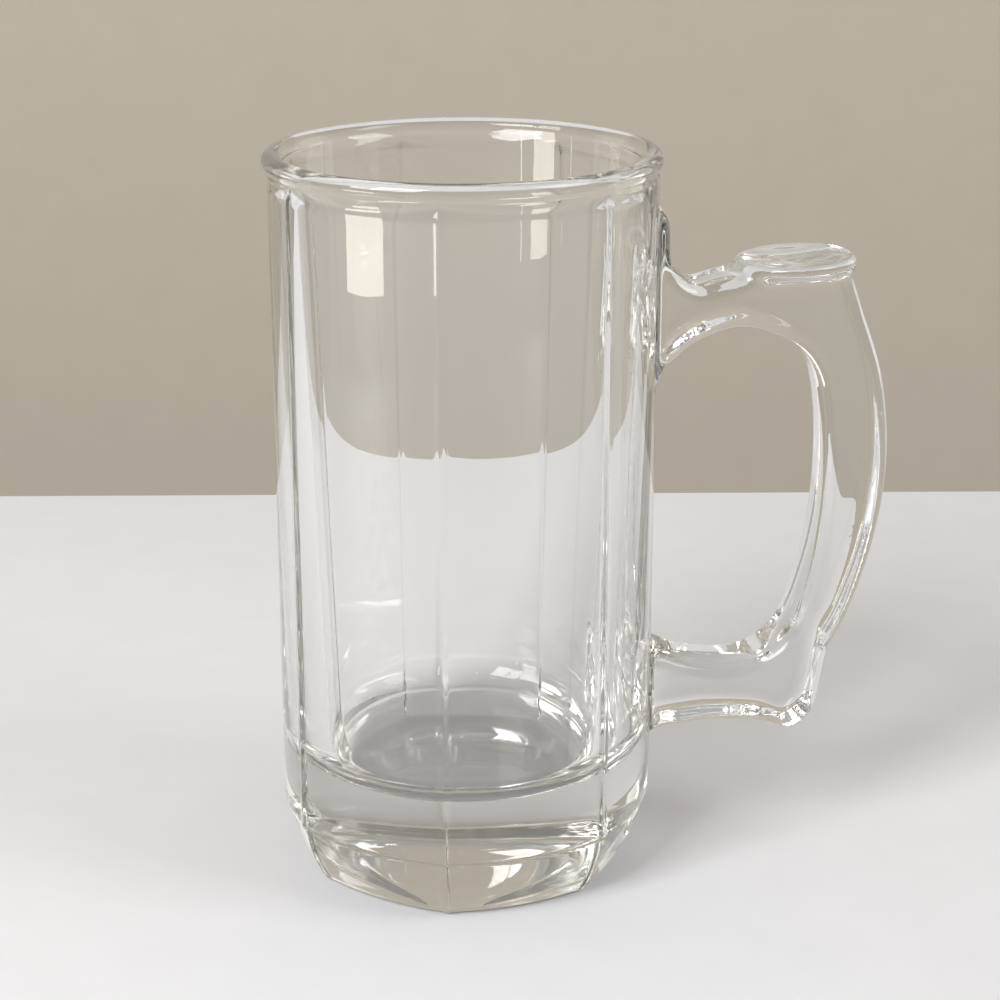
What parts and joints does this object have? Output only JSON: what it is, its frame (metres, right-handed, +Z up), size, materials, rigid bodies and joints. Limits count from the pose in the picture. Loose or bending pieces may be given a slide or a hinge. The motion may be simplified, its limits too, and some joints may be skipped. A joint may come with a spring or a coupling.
{
  "type": "beer mug",
  "caption": "Thick clear pressed-glass beer mug with bulged side panels, rolled rim, solid base and a fused strap handle with a dished thumb rest; holds a drink and stands on its flat foot.",
  "frame": {"origin": "centre of the foot's bearing ring on the table plane, on the body's axis", "axes": "+Z up along the body's axis, +X from the axis through the ridge that carries the handle, +Y completes the right-handed set"},
  "size_m": [0.1285, 0.08, 0.152],
  "materials": {
    "body_glass": "clear colourless pressed glass, fire-polished",
    "handle_glass": "clear colourless pressed glass, fire-polished"
  },
  "bodies": {
    "root": {"mug_body": "body_glass", "handle": "handle_glass"}
  },
  "joints": []
}
